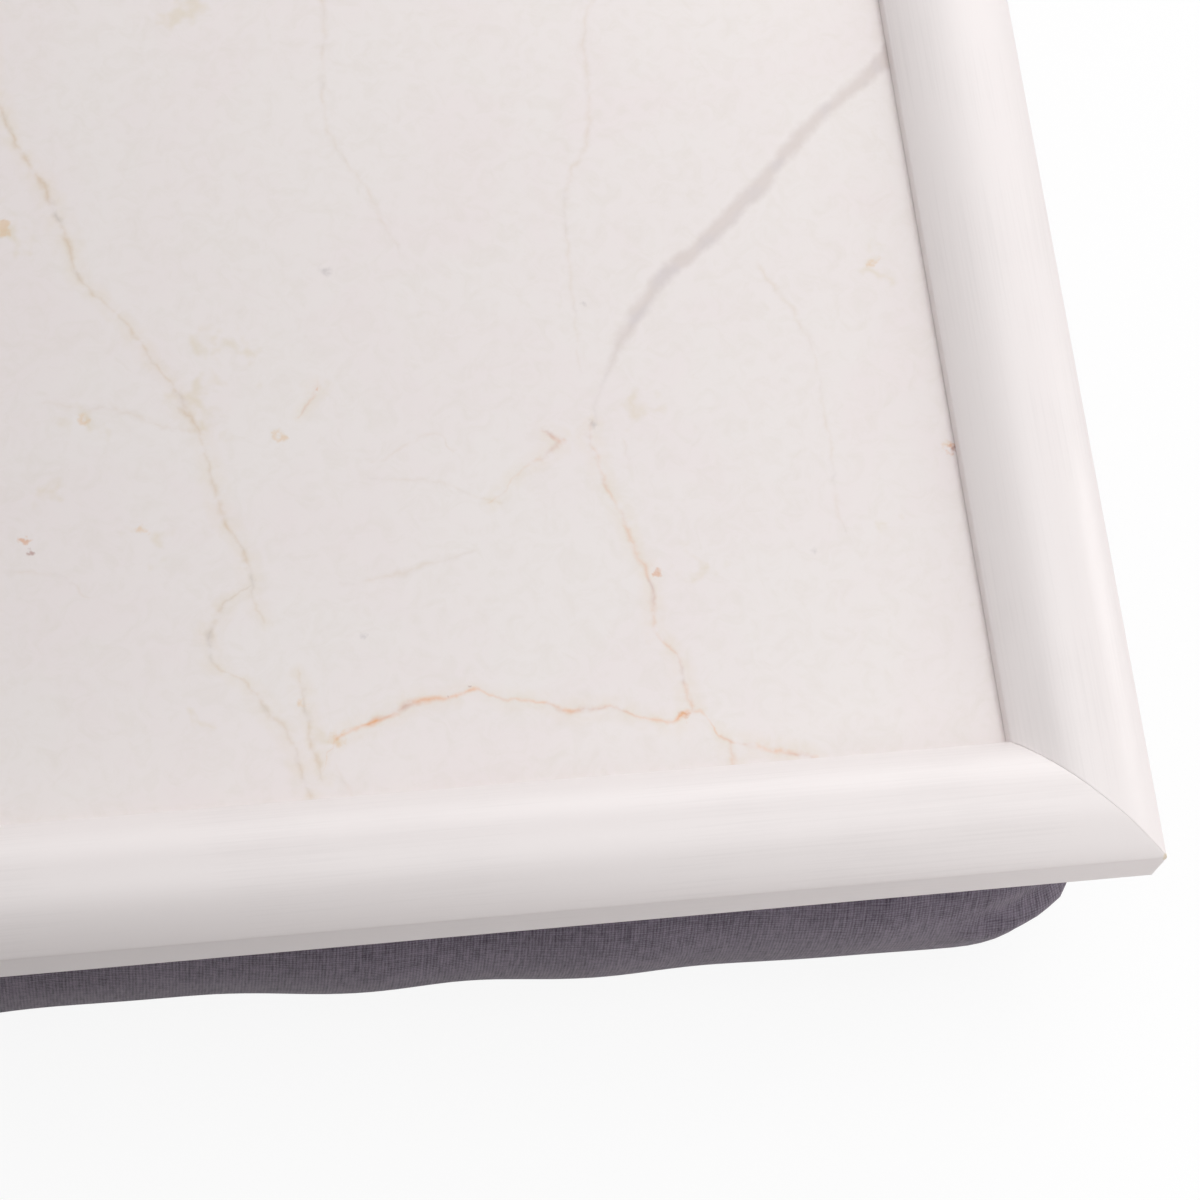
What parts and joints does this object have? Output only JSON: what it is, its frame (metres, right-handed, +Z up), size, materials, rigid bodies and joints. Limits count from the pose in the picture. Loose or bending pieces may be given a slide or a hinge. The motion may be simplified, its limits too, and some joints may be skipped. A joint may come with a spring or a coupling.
{
  "type": "lap tray",
  "caption": "Rectangular lap tray: a white mitred domed rim round a marble-print panel, on a grey bead-filled cushion that peels off the underside.",
  "frame": {"origin": "on the surface the tray lies on, under the middle of the cushion's base", "axes": "+X along the tray's long side, +Y away from the user, +Z up through the tray surface"},
  "size_m": [0.4424, 0.3424, 0.07],
  "materials": {
    "painted_wood": "satin",
    "fibreboard": "matte",
    "marble_print": "satin",
    "steel_fixing": "satin",
    "hook_tape": "matte",
    "loop_tape": "matte",
    "grey_cotton": "matte",
    "beads": "matte"
  },
  "bodies": {
    "cushion": {"bead_filling": "beads", "cushion_shell": "grey_cotton", "cushion_top": "grey_cotton", "loop_strip_back": "loop_tape", "loop_strip_front": "loop_tape", "loop_strip_left": "loop_tape", "loop_strip_right": "loop_tape"},
    "tray": {"back_rail": "painted_wood", "front_rail": "painted_wood", "hook_strip_back": "hook_tape", "hook_strip_front": "hook_tape", "hook_strip_left": "hook_tape", "hook_strip_right": "hook_tape", "left_rail": "painted_wood", "marble_sheet": "marble_print", "panel_tab_back_1": "steel_fixing", "panel_tab_back_2": "steel_fixing", "panel_tab_back_3": "steel_fixing", "panel_tab_front_1": "steel_fixing", "panel_tab_front_2": "steel_fixing", "panel_tab_front_3": "steel_fixing", "panel_tab_left_1": "steel_fixing", "panel_tab_left_2": "steel_fixing", "panel_tab_right_1": "steel_fixing", "panel_tab_right_2": "steel_fixing", "right_rail": "painted_wood", "tray_panel": "fibreboard", "v_nail_back_left_inner": "steel_fixing", "v_nail_back_left_outer": "steel_fixing", "v_nail_back_right_inner": "steel_fixing", "v_nail_back_right_outer": "steel_fixing", "v_nail_front_left_inner": "steel_fixing", "v_nail_front_left_outer": "steel_fixing", "v_nail_front_right_inner": "steel_fixing", "v_nail_front_right_outer": "steel_fixing"}
  },
  "joints": [
    {"name": "tray_lift", "type": "slide", "parent": "cushion", "child": "tray", "axis": [0, 0, 1], "range_m": [0, 0.12]}
  ]
}
